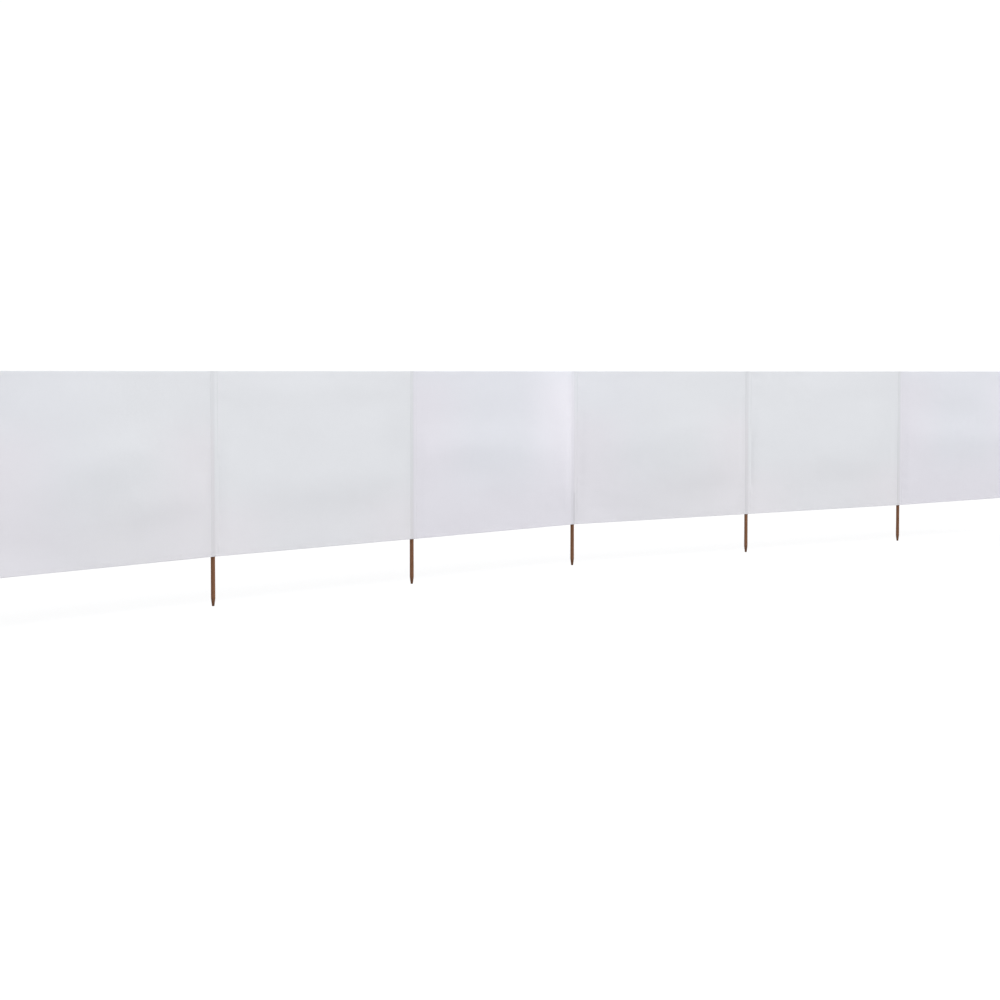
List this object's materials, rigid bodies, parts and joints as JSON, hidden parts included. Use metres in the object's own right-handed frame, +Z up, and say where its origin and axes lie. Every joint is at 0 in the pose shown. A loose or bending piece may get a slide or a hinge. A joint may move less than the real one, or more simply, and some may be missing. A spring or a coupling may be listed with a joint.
{
  "type": "beach windbreak",
  "caption": "Long pale cloth beach windbreak in even bays, on round brown wooden poles in sewn pole pockets, with blunt tips that push into the ground.",
  "frame": {"origin": "middle of the blunt flat tip of the middle pole, the end that is pushed into the ground", "axes": "+X runs along the windbreak from its first pole to its last, +Z points up along the poles, and -Y is the smooth front of the cloth"},
  "size_m": [7.9786, 0.4183, 1.015],
  "materials": {
    "pole_wood": "brown stained, satin, straight grain",
    "cloth": "matt plain-weave cloth, off-white"
  },
  "bodies": {
    "root": {"pole_1": "pole_wood", "pole_2": "pole_wood", "pole_3": "pole_wood", "pole_4": "pole_wood", "pole_5": "pole_wood", "pole_6": "pole_wood", "pole_7": "pole_wood", "pocket_1": "cloth", "pocket_2": "cloth", "pocket_3": "cloth", "pocket_4": "cloth", "pocket_5": "cloth", "pocket_6": "cloth", "pocket_7": "cloth", "panel_1": "cloth", "panel_2": "cloth", "panel_3": "cloth", "panel_4": "cloth", "panel_5": "cloth", "panel_6": "cloth"}
  },
  "joints": []
}
